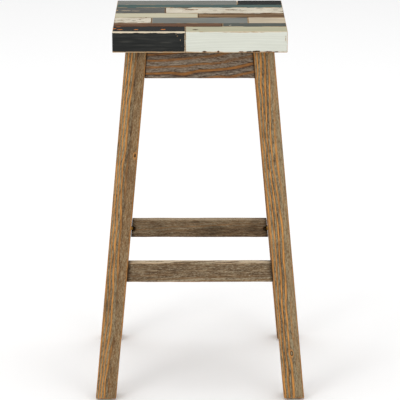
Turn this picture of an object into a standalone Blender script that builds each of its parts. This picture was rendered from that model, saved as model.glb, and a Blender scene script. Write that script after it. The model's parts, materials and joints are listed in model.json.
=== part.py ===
"""Bar stool with a footrest: a patchwork seat on a splayed wooden frame.

Metres, +Z up, the front faces -Y, and the origin is on the floor under the middle of the seat.
Frame pieces are first set out as an upright frame. splay() then leans each of them outwards, by
the same slope both ways, so that pieces that meet share one plane.
"""
import bpy
import bmesh
from math import cos, radians, sin
from mathutils import Matrix, Vector

# Whole stool
HEIGHT = 0.762
GAP = 0.0003              # between touching pieces

# Seat
SEAT_WIDTH = 0.343
SEAT_DEPTH = 0.304
SEAT_THICKNESS = 0.0425
STRIP_THICKNESS = 0.015
EDGE_THICKNESS = 0.012
BOARD_CHAMFER = 0.0012
STRIP_CHAMFER = 0.0005

# Frame, set out upright at the height of the seat's top
SPLAY = 0.0938            # outward lean for each metre down, both ways
LEG_SIZE = 0.042
LEG_OUTER = Vector((0.1425, 0.117))
LEG_CHAMFER = 0.0015
APRON_HEIGHT = 0.059
APRON_THICKNESS = 0.018
APRON_SETBACK = 0.005     # from the legs' outer faces
TENON_LENGTH = 0.018
TENON_THICKNESS = 0.009
TENON_SHOULDER = 0.008    # above and below the tenon
STRETCHER_TOP = 0.2845
STRETCHER_HEIGHT = 0.040
STRETCHER_THICKNESS = 0.020
RAIL_CHAMFER = 0.001
BLOCK_THICKNESS = 0.022
BLOCK_HEIGHT = 0.035

# Glides
GLIDE_THICKNESS = 0.003
GLIDE_RADIUS = 0.017
NAIL_RADIUS = 0.0012
NAIL_LENGTH = 0.014

# Screws: (head radius, head height, shank radius, length under the head)
STRETCHER_SCREW = (0.0048, 0.0030, 0.0021, 0.028)
BLOCK_SCREW = (0.0040, 0.0025, 0.0018, 0.022)
SEAT_SCREW = (0.0045, 0.0028, 0.0021, 0.046)
SCREW_SIDES = 12
STRETCHER_POCKET_RADIUS = 0.006
STRETCHER_POCKET_ANGLE = radians(38)   # from the face's normal towards the leg
STRETCHER_POCKET_OFFSET = 0.004        # from the stretcher's end, on its inner face
STRETCHER_POCKET_DEPTH = 0.0065
BLOCK_POCKET_RADIUS = 0.005
BLOCK_SCREW_OFFSET = 0.016             # in from the block's sharp end
BLOCK_SCREW_WOOD = 0.0085              # block wood left under the head
SEAT_POCKET_DEPTH = 0.010

UNDERSIDE = HEIGHT - SEAT_THICKNESS
FRAME_TOP = UNDERSIDE - GAP
LEG_INNER = LEG_OUTER - Vector((LEG_SIZE, LEG_SIZE))
STRETCHER_MIDDLE = STRETCHER_TOP - STRETCHER_HEIGHT / 2

PAINTS = {
    "black_paint": (0.022, 0.022, 0.022),
    "white_paint": (0.62, 0.63, 0.54),
    "cream_paint": (0.58, 0.53, 0.42),
    "grey_paint": (0.22, 0.22, 0.21),
    "dark_grey_paint": (0.12, 0.125, 0.12),
    "blue_grey_paint": (0.10, 0.11, 0.105),
    "red_brown_paint": (0.14, 0.065, 0.035),
    "brown_stain": (0.19, 0.12, 0.06),
    "beige_paint": (0.54, 0.44, 0.32),
    "yellow_green_paint": (0.55, 0.51, 0.36),
    "teal_paint": (0.07, 0.13, 0.12),
}

# Rows of the seat, front to rear: (share of the depth, [(board, share of the width, paint), ...])
ROWS = [
    (0.156, [("seat_front_board_left", 0.417, "black_paint"),
             ("seat_front_board_right", 0.583, "white_paint")]),
    (0.105, [("seat_strip_2_left", 0.630, "red_brown_paint"),
             ("seat_strip_2_right", 0.370, "blue_grey_paint")]),
    (0.175, [("seat_strip_3_left", 0.219, "cream_paint"),
             ("seat_strip_3_middle", 0.563, "grey_paint"),
             ("seat_strip_3_right", 0.218, "beige_paint")]),
    (0.137, [("seat_strip_4_left", 0.491, "yellow_green_paint"),
             ("seat_strip_4_right", 0.509, "brown_stain")]),
    (0.187, [("seat_strip_5_left", 0.296, "dark_grey_paint"),
             ("seat_strip_5_right", 0.704, "cream_paint")]),
    (0.094, [("seat_strip_6", 1.0, "teal_paint")]),
    (0.146, [("seat_rear_board_left", 0.729, "grey_paint"),
             ("seat_rear_board_right", 0.271, "black_paint")]),
]

WOOD = (0.26, 0.17, 0.10)
RAW_WOOD = (0.45, 0.32, 0.19)
BRASS = (0.55, 0.40, 0.14)
GLIDE_GREY = (0.30, 0.29, 0.26)

SIDES = {"left": -1, "right": 1}
ENDS = {"front": -1, "rear": 1}


def clear_scene():
    for item in list(bpy.data.objects):
        bpy.data.objects.remove(item, do_unlink=True)


def add_collection(name):
    collection = bpy.data.collections.new(name)
    bpy.context.scene.collection.children.link(collection)
    return collection


clear_scene()
STOOL = add_collection("bar_stool")
CUTTERS = add_collection("cutters")
ROOT = bpy.data.objects.new("stool", None)
STOOL.objects.link(ROOT)


def material(name, colour, roughness=0.7, metallic=0.0):
    """The named material, made on its first use."""
    found = bpy.data.materials.get(name)
    if found:
        return found
    made = bpy.data.materials.new(name)
    made.use_nodes = True
    shader = made.node_tree.nodes["Principled BSDF"]
    shader.inputs["Base Color"].default_value = (*colour, 1.0)
    shader.inputs["Roughness"].default_value = roughness
    shader.inputs["Metallic"].default_value = metallic
    made.diffuse_color = (*colour, 1.0)
    return made


def place(name, mesh, location, look=None, collection=None):
    """Put a mesh in the scene as a named object. A piece hangs from the stool's empty."""
    item = bpy.data.objects.new(name, mesh)
    (collection or STOOL).objects.link(item)
    item.location = location
    if look and not mesh.materials:
        mesh.materials.append(look)
    if collection is CUTTERS:
        item.hide_render = True
        item.display_type = "WIRE"
    else:
        item.parent = ROOT
    return item


def box(name, low, high, look=None, collection=None):
    """A box between two corners, with its origin at its centre."""
    low = Vector(low)
    high = Vector(high)
    shape = bmesh.new()
    bmesh.ops.create_cube(shape, size=1.0, matrix=Matrix.Diagonal((*(high - low), 1.0)))
    mesh = bpy.data.meshes.new(name)
    shape.to_mesh(mesh)
    shape.free()
    return place(name, mesh, (low + high) / 2, look, collection)


def side_of(value):
    """-1, 0 or 1: the side of the stool's middle plane that a coordinate is on."""
    if abs(value) < 1e-6:
        return 0
    return 1 if value > 0 else -1


def leaned(point):
    """Where a point of the upright frame is once the frame leans out."""
    shift = SPLAY * (HEIGHT - point.z)
    return point + shift * Vector((side_of(point.x), side_of(point.y), 0.0))


def splay(item):
    """Lean a piece of the upright frame outwards. Its origin leans with it."""
    old_origin = item.location.copy()
    new_origin = leaned(old_origin)
    for vertex in item.data.vertices:
        vertex.co = leaned(old_origin + vertex.co) - new_origin
    item.location = new_origin
    return item


def chamfer(item, width, segments=2):
    bevel = item.modifiers.new("chamfer", "BEVEL")
    bevel.width = width
    bevel.segments = segments
    bevel.limit_method = "ANGLE"
    bevel.use_clamp_overlap = True


def cut(item, cutter, operation="DIFFERENCE"):
    boolean = item.modifiers.new(cutter.name, "BOOLEAN")
    boolean.object = cutter
    boolean.operation = operation
    boolean.solver = "EXACT"


def turned(name, profile, sides=SCREW_SIDES):
    """A solid turned round Z. The profile lists (radius, height), top to bottom on its outer side."""
    outline = bpy.data.meshes.new(name + "_outline")
    points = [(radius, 0.0, height) for radius, height in profile]
    edges = [(index, index + 1) for index in range(len(points) - 1)]
    outline.from_pydata(points, edges, [])
    maker = bpy.data.objects.new(name + "_outline", outline)
    CUTTERS.objects.link(maker)
    screw = maker.modifiers.new("turn", "SCREW")
    screw.steps = sides
    screw.render_steps = sides
    screw.use_merge_vertices = True
    screw.merge_threshold = 0.00001
    solid = bpy.data.meshes.new_from_object(maker.evaluated_get(bpy.context.evaluated_depsgraph_get()))
    bpy.data.objects.remove(maker, do_unlink=True)
    bpy.data.meshes.remove(outline)
    solid.name = name
    solid.shade_smooth()
    solid.set_sharp_from_angle(angle=radians(35))
    return solid


def screw_mesh(kind):
    """A pan-head screw. Its head's bearing face is at z = 0 and its tip points to -Z."""
    name = "screw_%d_%d" % (kind[2] * 20000, kind[3] * 1000)
    if name in bpy.data.meshes:
        return bpy.data.meshes[name]
    head, height, shank, length = kind
    return turned(name, [
        (0.0, height),
        (head * 0.62, height * 0.93),
        (head * 0.94, height * 0.55),
        (head, 0.0),
        (shank, 0.0),
        (shank, -length * 0.82),
        (0.0, -length),
    ])


def screw_room_mesh(kind, pocket_radius, pocket_length):
    """The space cut for a screw: a pocket above its head and a pilot hole round its shank."""
    shank, length = kind[2:]
    return turned("room", [
        (0.0, pocket_length),
        (pocket_radius, pocket_length),
        (pocket_radius, -GAP),
        (shank + GAP, -GAP),
        (shank + GAP, -length - GAP),
        (0.0, -length - GAP),
    ])


def fasten(name, kind, head_at, direction, pocket, pieces):
    """Drive a screw: its bearing face is at head_at, and it runs along direction through the pieces."""
    turn = Vector((0.0, 0.0, -1.0)).rotation_difference(direction)
    screw = place(name, screw_mesh(kind), head_at, material("yellow_zinc", BRASS, 0.35, 1.0))
    room = place(name + "_room", screw_room_mesh(kind, *pocket), head_at, None, CUTTERS)
    for item in (screw, room):
        item.rotation_mode = "QUATERNION"
        item.rotation_quaternion = turn
    for piece in pieces:
        cut(piece, room)


def inset(value, rim, gap):
    """A board's end: on the seat's rim it stays, and anywhere else it leaves a gap."""
    return value if abs(value - rim) < GAP else value + gap


def make_seat():
    """The seat: thick front and rear boards, with strips over a panel between them."""
    half_width = SEAT_WIDTH / 2
    front = -SEAT_DEPTH / 2
    for index, (depth_share, boards) in enumerate(ROWS):
        rear = front + depth_share * SEAT_DEPTH
        thick = index in (0, len(ROWS) - 1)
        bottom = UNDERSIDE if thick else HEIGHT - STRIP_THICKNESS
        left = -half_width
        for name, width_share, paint in boards:
            right = left + width_share * SEAT_WIDTH
            low = (inset(left, -half_width, GAP / 2), inset(front, -SEAT_DEPTH / 2, GAP / 2), bottom)
            high = (inset(right, half_width, -GAP / 2), inset(rear, SEAT_DEPTH / 2, -GAP / 2), HEIGHT)
            board = box(name, low, high, material(paint, PAINTS[paint], 0.6))
            chamfer(board, BOARD_CHAMFER if thick else STRIP_CHAMFER, 2 if thick else 1)
            left = right
        front = rear

    panel_front = -SEAT_DEPTH / 2 + ROWS[0][0] * SEAT_DEPTH + GAP
    panel_rear = SEAT_DEPTH / 2 - ROWS[-1][0] * SEAT_DEPTH - GAP
    panel_top = HEIGHT - STRIP_THICKNESS - GAP
    inside = half_width - EDGE_THICKNESS
    for side, sign in SIDES.items():
        outer = sign * half_width
        inner = sign * inside
        paint = material("grey_paint", PAINTS["grey_paint"], 0.6)
        edge = box("seat_edge_" + side, (min(inner, outer), panel_front, UNDERSIDE),
                   (max(inner, outer), panel_rear, panel_top), paint)
        chamfer(edge, STRIP_CHAMFER, 1)
    return box("seat_panel", (GAP - inside, panel_front, UNDERSIDE), (inside - GAP, panel_rear, panel_top),
               material("raw_wood", RAW_WOOD, 0.8))


def make_legs():
    """Four square legs, from under the seat to the glides. Their ends are level."""
    legs = {}
    for end, end_sign in ENDS.items():
        for side, side_sign in SIDES.items():
            xs = sorted((side_sign * LEG_OUTER.x, side_sign * LEG_INNER.x))
            ys = sorted((end_sign * LEG_OUTER.y, end_sign * LEG_INNER.y))
            leg = box("leg_%s_%s" % (end, side), (xs[0], ys[0], GLIDE_THICKNESS + GAP),
                      (xs[1], ys[1], FRAME_TOP), material("brown_wood", WOOD, 0.75))
            splay(leg)
            chamfer(leg, LEG_CHAMFER)
            legs[end, side] = leg
    return legs


def rail_box(name, along, sign, setback, thickness, bottom, top, overrun=-GAP, look=None, collection=None):
    """A box between two legs. along is 0 for a rail along X and 1 for one along Y.

    sign is the side of the stool that the rail is on. overrun is how far its ends pass the legs'
    inner faces.
    """
    across = 1 - along
    reach = LEG_INNER[along] + overrun
    outer = LEG_OUTER[across] - setback
    inner = outer - thickness
    low = [0.0, 0.0, bottom]
    high = [0.0, 0.0, top]
    low[along] = -reach
    high[along] = reach
    low[across], high[across] = sorted((sign * outer, sign * inner))
    return splay(box(name, low, high, look, collection))


RAILS = {"front": (0, -1), "rear": (0, 1), "left": (1, -1), "right": (1, 1)}


def legs_of(legs, rail):
    """The two legs that a rail joins, as (sign along the rail, leg)."""
    if rail in ENDS:
        return [(sign, legs[rail, side]) for side, sign in SIDES.items()]
    return [(sign, legs[end, rail]) for end, sign in ENDS.items()]


def make_aprons(legs):
    """Four aprons under the seat. Their tenons sit in mortises in the legs."""
    aprons = {}
    bottom = UNDERSIDE - APRON_HEIGHT
    tenon_setback = APRON_SETBACK + (APRON_THICKNESS - TENON_THICKNESS) / 2
    tenon_bottom = bottom + TENON_SHOULDER
    tenon_top = FRAME_TOP - TENON_SHOULDER
    for rail, (along, sign) in RAILS.items():
        apron = rail_box("apron_" + rail, along, sign, APRON_SETBACK, APRON_THICKNESS, bottom, FRAME_TOP,
                         look=material("brown_wood", WOOD, 0.75))
        chamfer(apron, RAIL_CHAMFER)
        tenon = rail_box("tenon_" + rail, along, sign, tenon_setback, TENON_THICKNESS, tenon_bottom,
                         tenon_top, TENON_LENGTH, collection=CUTTERS)
        cut(apron, tenon, "UNION")
        mortise = rail_box("mortise_" + rail, along, sign, tenon_setback - GAP, TENON_THICKNESS + 2 * GAP,
                           tenon_bottom - GAP, tenon_top + GAP, TENON_LENGTH + GAP, collection=CUTTERS)
        for _, leg in legs_of(legs, rail):
            cut(leg, mortise)
        aprons[rail] = apron
    return aprons


def make_stretchers(legs):
    """Four stretchers. An angled screw in a pocket on the inner face holds each end to its leg."""
    setback = (LEG_SIZE - STRETCHER_THICKNESS) / 2
    for rail, (along, sign) in RAILS.items():
        across = 1 - along
        stretcher = rail_box("stretcher_" + rail, along, sign, setback, STRETCHER_THICKNESS,
                             STRETCHER_TOP - STRETCHER_HEIGHT, STRETCHER_TOP,
                             look=material("brown_wood", WOOD, 0.75))
        chamfer(stretcher, RAIL_CHAMFER)
        places = ENDS if rail in SIDES else SIDES
        for end_sign, leg in legs_of(legs, rail):
            end = [name for name, value in places.items() if value == end_sign][0]
            mouth = Vector((0.0, 0.0, STRETCHER_MIDDLE))
            mouth[along] = end_sign * LEG_INNER[along]
            mouth[across] = sign * (LEG_OUTER[across] - setback - STRETCHER_THICKNESS)
            mouth = leaned(mouth)
            mouth[along] -= end_sign * STRETCHER_POCKET_OFFSET
            direction = Vector((0.0, 0.0, 0.0))
            direction[along] = end_sign * sin(STRETCHER_POCKET_ANGLE)
            direction[across] = sign * cos(STRETCHER_POCKET_ANGLE)
            fasten("stretcher_%s_screw_%s" % (rail, end), STRETCHER_SCREW,
                   mouth + direction * STRETCHER_POCKET_DEPTH, direction,
                   (STRETCHER_POCKET_RADIUS, STRETCHER_THICKNESS), (stretcher, leg))


def make_corner_block(end, side, panel, aprons):
    """A diagonal brace across one corner of the apron frame, screwed to two aprons and the seat."""
    wall = LEG_OUTER - Vector((APRON_SETBACK + APRON_THICKNESS + GAP,) * 2)
    outer_line = LEG_INNER.x + LEG_INNER.y - 2 * GAP
    inner_line = outer_line - BLOCK_THICKNESS * 2 ** 0.5
    outline = [
        (wall.x, inner_line - wall.x),
        (wall.x, outer_line - wall.x),
        (outer_line - wall.y, wall.y),
        (inner_line - wall.y, wall.y),
    ]
    signs = Vector((SIDES[side], ENDS[end], 1.0))
    centre = Vector((sum(x for x, _ in outline) / 4, sum(y for _, y in outline) / 4, 0.0))
    bottom = FRAME_TOP - BLOCK_HEIGHT
    shape = bmesh.new()
    corners = [shape.verts.new((x - centre.x, y - centre.y, 0.0)) for x, y in outline]
    base = shape.faces.new(corners)
    raised = bmesh.ops.extrude_face_region(shape, geom=[base])["geom"]
    bmesh.ops.translate(shape, verts=[v for v in raised if isinstance(v, bmesh.types.BMVert)],
                        vec=(0.0, 0.0, BLOCK_HEIGHT))
    bmesh.ops.scale(shape, verts=shape.verts, vec=signs)
    bmesh.ops.recalc_face_normals(shape, faces=shape.faces)
    name = "corner_block_%s_%s" % (end, side)
    mesh = bpy.data.meshes.new(name)
    shape.to_mesh(mesh)
    shape.free()
    block = place(name, mesh, (centre.x * signs.x, centre.y * signs.y, bottom),
                  material("raw_wood", RAW_WOOD, 0.8))
    splay(block)
    chamfer(block, STRIP_CHAMFER, 1)

    middle = bottom + BLOCK_HEIGHT / 2
    for label, across, rail in (("side", 0, side), ("end", 1, end)):
        along = 1 - across
        head = Vector((0.0, 0.0, middle))
        head[along] = signs[along] * (inner_line - wall[across] + BLOCK_SCREW_OFFSET)
        head[across] = signs[across] * (wall[across] - BLOCK_SCREW_WOOD)
        direction = Vector((0.0, 0.0, 0.0))
        direction[across] = signs[across]
        fasten("block_screw_%s_%s_%s" % (end, side, label), BLOCK_SCREW, leaned(head), direction,
               (BLOCK_POCKET_RADIUS, BLOCK_THICKNESS), (block, aprons[rail]))

    head = leaned(Vector((centre.x * signs.x, centre.y * signs.y, middle)))
    head.z = bottom + SEAT_POCKET_DEPTH
    fasten("seat_screw_%s_%s" % (end, side), SEAT_SCREW, head, Vector((0.0, 0.0, 1.0)),
           (BLOCK_POCKET_RADIUS, BLOCK_THICKNESS), (block, panel))


def make_glides(legs):
    """Four nail-on glides under the feet."""
    top = GLIDE_THICKNESS
    solid = turned("glide", [
        (0.0, top + NAIL_LENGTH),
        (NAIL_RADIUS, top + NAIL_LENGTH - 2 * NAIL_RADIUS),
        (NAIL_RADIUS, top),
        (GLIDE_RADIUS, top),
        (GLIDE_RADIUS, top * 0.35),
        (GLIDE_RADIUS - top * 0.35, 0.0),
        (0.0, 0.0),
    ], 24)
    hole = turned("nail_hole", [
        (0.0, NAIL_LENGTH + GAP),
        (NAIL_RADIUS + GAP, NAIL_LENGTH + GAP),
        (NAIL_RADIUS + GAP, -top),
        (0.0, -top),
    ])
    for (end, side), leg in legs.items():
        outer = Vector((SIDES[side] * LEG_OUTER.x, ENDS[end] * LEG_OUTER.y, top))
        inner = Vector((SIDES[side] * LEG_INNER.x, ENDS[end] * LEG_INNER.y, top))
        foot = (leaned(outer) + leaned(inner)) / 2
        place("glide_%s_%s" % (end, side), solid, (foot.x, foot.y, 0.0),
              material("glide_plastic", GLIDE_GREY, 0.6))
        cut(leg, place("nail_hole_%s_%s" % (end, side), hole, (foot.x, foot.y, top), None, CUTTERS))


def main():
    panel = make_seat()
    legs = make_legs()
    aprons = make_aprons(legs)
    make_stretchers(legs)
    for end in ENDS:
        for side in SIDES:
            make_corner_block(end, side, panel, aprons)
    make_glides(legs)


main()
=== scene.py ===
"""Looks for the bar stool: brushed, stained wood on the frame and worn paint on the seat's boards.

Each wooden piece is a fine mesh with rounded, uneven edges and its grain cut into it. Its vertices
carry the fields that its material reads. "grain" is the place in the board, "ring" counts its
growth rings, "slant" says how steeply they meet the face, "plain" where they fade, and "knot" where
a knot is. "bare" says how far the finish is worn off, "under" what shows there, "grime"
how far the piece is darkened by dirt and stains and by painted shade in holes, at joints and under
the seat, and "haze" where painted sheen lightens the black front board.
"""
import json
from math import cos, pi, radians, sin

import bpy
import numpy as np
from mathutils import Matrix, Vector


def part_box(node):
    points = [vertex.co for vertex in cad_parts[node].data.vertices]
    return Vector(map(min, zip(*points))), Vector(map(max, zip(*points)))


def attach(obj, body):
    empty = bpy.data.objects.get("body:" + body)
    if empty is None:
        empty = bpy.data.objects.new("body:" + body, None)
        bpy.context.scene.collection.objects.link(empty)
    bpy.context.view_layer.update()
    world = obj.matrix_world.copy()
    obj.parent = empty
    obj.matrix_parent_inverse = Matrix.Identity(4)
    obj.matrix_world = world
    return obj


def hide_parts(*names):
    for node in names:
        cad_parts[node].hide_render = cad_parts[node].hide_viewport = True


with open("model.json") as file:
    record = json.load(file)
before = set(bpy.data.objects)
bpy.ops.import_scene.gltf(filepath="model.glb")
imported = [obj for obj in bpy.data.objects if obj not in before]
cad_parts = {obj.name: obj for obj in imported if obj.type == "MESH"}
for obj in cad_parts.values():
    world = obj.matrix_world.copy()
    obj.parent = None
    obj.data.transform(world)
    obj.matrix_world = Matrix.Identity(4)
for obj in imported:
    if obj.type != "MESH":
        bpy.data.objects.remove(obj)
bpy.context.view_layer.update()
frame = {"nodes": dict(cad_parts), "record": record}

MM = 0.001
LEG_SIZE = 42 * MM
GAP = 0.3 * MM
NAIL_RADIUS = 1.2 * MM
NAIL_LENGTH = 14 * MM
ENDS = {"front": -1, "rear": 1}
SIDES = {"left": -1, "right": 1}
CORNERS = [(end, side) for end in ENDS for side in SIDES]
ON_AXIS = 0.1 * MM    # how far off its axis a turned solid's outline starts and ends


# ---- numbers

def hashed(x, y, z, seed):
    """A number from 0 to 1 for each whole-numbered place."""
    n = (x * 73856093) ^ (y * 19349663) ^ (z * 83492791) ^ (seed * 2654435761)
    n = n & 0xFFFFFFFF
    n = ((n ^ (n >> 15)) * 2246822519) & 0xFFFFFFFF
    n = ((n ^ (n >> 13)) * 3266489917) & 0xFFFFFFFF
    return ((n ^ (n >> 16)) & 0xFFFFFFFF) / 4294967295.0


def noise(points, cell, seed=0):
    """Smooth noise from 0 to 1. cell is the size of its cells along each axis."""
    scaled = points / np.array(cell)
    whole = np.floor(scaled).astype(np.int64)
    part = scaled - whole
    part = part * part * (3 - 2 * part)
    total = np.zeros(len(points))
    for corner in range(8):
        step = np.array((corner & 1, (corner >> 1) & 1, (corner >> 2) & 1))
        share = np.where(step, part, 1 - part).prod(axis=1)
        total += share * hashed(*(whole + step).T, seed)
    return total


def layered(points, cell, seed=0, octaves=3):
    """Noise with finer noise on it, from 0 to 1."""
    total = np.zeros(len(points))
    weight = 1.0
    weights = 0.0
    size = np.array(cell, float)
    for octave in range(octaves):
        total += weight * noise(points, size, seed + 31 * octave)
        weights += weight
        weight *= 0.5
        size = size * 0.5
    return total / weights


def smooth(low, high, value):
    """0 below low, 1 above high, and a smooth rise between."""
    t = np.clip((value - low) / (high - low), 0, 1)
    return t * t * (3 - 2 * t)


def linear(red, green, blue):
    """A display colour, 0 to 255, as the linear colour that a shader takes."""
    return tuple(
        c / 12.92 if c <= 0.04045 else ((c + 0.055) / 1.055) ** 2.4
        for c in (red / 255, green / 255, blue / 255)
    ) + (1.0,)


# ---- wood

RIDGE_RISE = (0.40, 0.70)    # the shares of a ring over which late wood rises and falls
RIDGE_FALL = (0.88, 1.00)


class Tree:
    """The tree that a board was sawn from, seen from the board.

    The tree's heart runs roughly along the board: heart is its place across the board, and drift
    is how far it moves for each metre. width is one growth ring's, and sway is how far the grain
    wanders. A knot has a place in the board, a size, and a strength from 0 to 1. plain is where,
    across the board, the rings start to fade and where they are gone.
    """

    def __init__(self, heart, drift, width, sway, knots=(), plain=None):
        self.heart = np.array(heart) * MM
        self.drift = np.array(drift) * MM
        self.width = width * MM
        self.sway = sway * MM
        self.knots = [(np.array(place) * MM, size * MM, most) for place, size, most in knots]
        self.plain = plain


def ridge(ring):
    """How far a ring's hard late wood stands up, 0 to 1."""
    growth = ring - np.floor(ring)
    return smooth(*RIDGE_RISE, growth) * (1 - smooth(*RIDGE_FALL, growth))


def knot_reach(local, place, size):
    """Distance from a knot's middle as a share of its size. Knots are longer along the grain."""
    away = (local - place) * np.array((0.55, 1.0, 0.35))
    return np.linalg.norm(away, axis=1) / size


def knot_strength(local, tree):
    strength = np.zeros(len(local))
    for place, size, most in tree.knots:
        strength = np.maximum(strength, most * smooth(2.2, 0.3, knot_reach(local, place, size)))
    return strength


def ring_count(local, tree, seed):
    """Growth rings between the tree's heart and each point of a board."""
    moved = local.copy()
    for place, size, _ in tree.knots:
        bend = np.exp(-(knot_reach(local, place, size) / 2.2) ** 2)
        moved[:, 1] -= 0.8 * bend * (local[:, 1] - place[1])
    wander = [layered(moved, (0.20, 0.10, 0.10), seed + n, 2) - 0.5 for n in (0, 7)]
    ripple = [noise(moved, (0.032, 0.014, 0.014), seed + n) - 0.5 for n in (13, 19)]
    across = moved[:, 1:] - tree.heart - np.outer(moved[:, 0], tree.drift)
    across += tree.sway * np.stack(wander, axis=1) + 0.45 * tree.width * np.stack(ripple, axis=1)
    distance = np.hypot(across[:, 0], across[:, 1])
    along_radius = np.stack([distance, 0 * distance, 0 * distance], axis=1)
    uneven = 1.2 * (noise(along_radius, (4 * tree.width, 1, 1), seed + 3) - 0.5)
    return distance / tree.width + uneven + 40.0


def ring_slant(local, tree, size):
    """How steeply the rings meet a board's nearest face: 0 along it, 1 straight through it."""
    away = local[:, 1:] - tree.heart - np.outer(local[:, 0], tree.drift)
    away /= np.linalg.norm(away, axis=1)[:, None]
    gaps = size / 2 - np.abs(local)
    nearest = gaps[:, 1:].argmin(axis=1)
    through = away[np.arange(len(away)), nearest]
    on_end = gaps[:, 0] < gaps[:, 1:].min(axis=1)
    return np.where(on_end, 1.0, np.sqrt(np.clip(1 - through ** 2, 0, 1)))


# ---- meshes

def axis_steps(length, step, rim, rim_steps=5):
    """Places along one side of a board, closer together in the rims where its edges are round."""
    half = length / 2
    rim = min(rim, half * 0.45)
    count = max(2, round((length - 2 * rim) / step))
    return np.concatenate([
        np.linspace(-half, rim - half, rim_steps + 1)[:-1],
        np.linspace(rim - half, half - rim, count + 1),
        np.linspace(half - rim, half, rim_steps + 1)[1:],
    ])


def block_surface(size, steps, rim):
    """Points and quads of a box's skin as fine grids that share their edges."""
    axes = [axis_steps(length, step, rim) for length, step in zip(size, steps)]
    counts = [len(axis) for axis in axes]
    index = np.indices(counts)
    ends = [(index[d] == 0) | (index[d] == counts[d] - 1) for d in range(3)]
    skin = ends[0] | ends[1] | ends[2]
    number = np.full(counts, -1)
    number[skin] = np.arange(skin.sum())
    points = np.stack([axes[d][index[d][skin]] for d in range(3)], axis=1)
    quads = []
    for d in range(3):
        for last in (0, 1):
            sheet = np.take(number, counts[d] - 1 if last else 0, axis=d)
            corners = [sheet[:-1, :-1], sheet[1:, :-1], sheet[1:, 1:], sheet[:-1, 1:]]
            if (last == 0) != (d == 1):
                corners.reverse()
            quads.append(np.stack([c.ravel() for c in corners], axis=1))
    return points, np.concatenate(quads)


def rounded(points, size, radius):
    """The skin with its edges rounded, and the direction that each point faces."""
    half = np.array(size) / 2
    radius = np.minimum(radius, half.min() * 0.9)[:, None]
    core = np.clip(points, radius - half, half - radius)
    away = points - core
    facing = away / np.linalg.norm(away, axis=1)[:, None]
    return core + radius * facing, facing


def to_mesh(name, points, faces):
    mesh = bpy.data.meshes.new(name)
    mesh.from_pydata(points.tolist(), [], faces)
    mesh.shade_smooth()
    return mesh


def positions(mesh):
    flat = np.empty(len(mesh.vertices) * 3, np.float32)
    mesh.vertices.foreach_get("co", flat)
    return flat.reshape(-1, 3).astype(float)


def add_field(mesh, name, values):
    """Store a value for each vertex, one number or three."""
    kind, key = ("FLOAT", "value") if values.ndim == 1 else ("FLOAT_VECTOR", "vector")
    field = mesh.attributes.new(name, kind, "POINT")
    field.data.foreach_set(key, values.astype(np.float32).ravel())


def add_object(name, data):
    item = bpy.data.objects.new(name, data)
    bpy.context.scene.collection.objects.link(item)
    return item


def claim(item, material, node):
    """Finish a piece: give it its material and put it in place of its CAD node."""
    item.data.materials.clear()
    item.data.materials.append(material)
    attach(item, "root")
    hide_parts(node)


def lathe_object(name, profile, sides, shape=None):
    """A solid turned round Z from (radius, height) pairs, top first. shape may move its points."""
    turns = np.arange(sides) * 2 * pi / sides
    circle = np.stack([np.cos(turns), np.sin(turns), 0 * turns], axis=1)
    points = np.concatenate([radius * circle + (0, 0, height) for radius, height in profile])
    if shape:
        points = shape(points)
    here = np.arange(sides)
    after = (here + 1) % sides
    faces = []
    for row in range(len(profile) - 1):
        top = row * sides
        low = top + sides
        faces += np.stack([top + here, low + here, low + after, top + after], axis=1).tolist()
    faces.append(here.tolist())
    faces.append((len(points) - sides + here)[::-1].tolist())
    mesh = to_mesh(name, points, faces)
    mesh.set_sharp_from_angle(angle=radians(35))
    return add_object(name, mesh)


def carved(mesh, cutters):
    """The mesh with the cutters' shapes taken out of it."""
    item = add_object("carving", mesh)
    for cutter in cutters:
        cut = item.modifiers.new("cut", "BOOLEAN")
        cut.object = cutter
        cut.operation = "DIFFERENCE"
        cut.solver = "EXACT"
    depsgraph = bpy.context.evaluated_depsgraph_get()
    result = bpy.data.meshes.new_from_object(item.evaluated_get(depsgraph))
    bpy.data.objects.remove(item)
    result.shade_smooth()
    result.set_sharp_from_angle(angle=radians(50))
    return result


# ---- where the pieces are

def box_of(node):
    low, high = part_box(node)
    return np.array(low), np.array(high)


LEG_LOW, LEG_HIGH = box_of("leg_front_right")
SPLAY = (LEG_HIGH[0] - LEG_LOW[0] - LEG_SIZE) / (LEG_HIGH[2] - LEG_LOW[2])
FOOT_OUTER = (LEG_HIGH[0], -LEG_LOW[1])    # the legs' outer faces at the foot, in x and y


def leg_outer(height, axis):
    """How far out a leg's outer face is at a height."""
    return FOOT_OUTER[axis] - SPLAY * (height - LEG_LOW[2])


# The stool's axes that a board's length, depth and height follow, by the axis that it lies along
AXES = {0: (0, 1, 2), 1: (1, 0, 2), 2: (2, 0, 1)}


class Place:
    """Where a board lies: from its own length, depth and height to the stool's x, y and z.

    centre gives its middle in x and y at each height, and stretch its length as a share of size.
    """

    def __init__(self, size, middle, along=0, centre=None, stretch=None):
        self.size = size
        self.middle = np.array(middle)
        self.axes = AXES[along]
        self.mirrored = along == 1
        self.centre = centre
        self.stretch = stretch

    def middle_at(self, height):
        return self.centre(height) if self.centre else self.middle[:2]

    def out(self, local):
        world = np.empty_like(local)
        for own, axis in enumerate(self.axes):
            world[:, axis] = local[:, own]
        world[:, 2] += self.middle[2]
        if self.stretch:
            world[:, self.axes[0]] *= self.stretch(world[:, 2])
        world[:, :2] += self.middle_at(world[:, 2])
        return world

    def back(self, world):
        world = world.copy()
        world[:, :2] -= self.middle_at(world[:, 2])
        if self.stretch:
            world[:, self.axes[0]] /= self.stretch(world[:, 2])
        world[:, 2] -= self.middle[2]
        return np.stack([world[:, axis] for axis in self.axes], axis=1)


WEAR_DEPTH = 0.22 * MM    # of the finish, and of dips in the surface
KNOT_DEPTH = 0.5 * MM
FADE_WANDER = 14 * MM     # of the line where the rings fade


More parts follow.
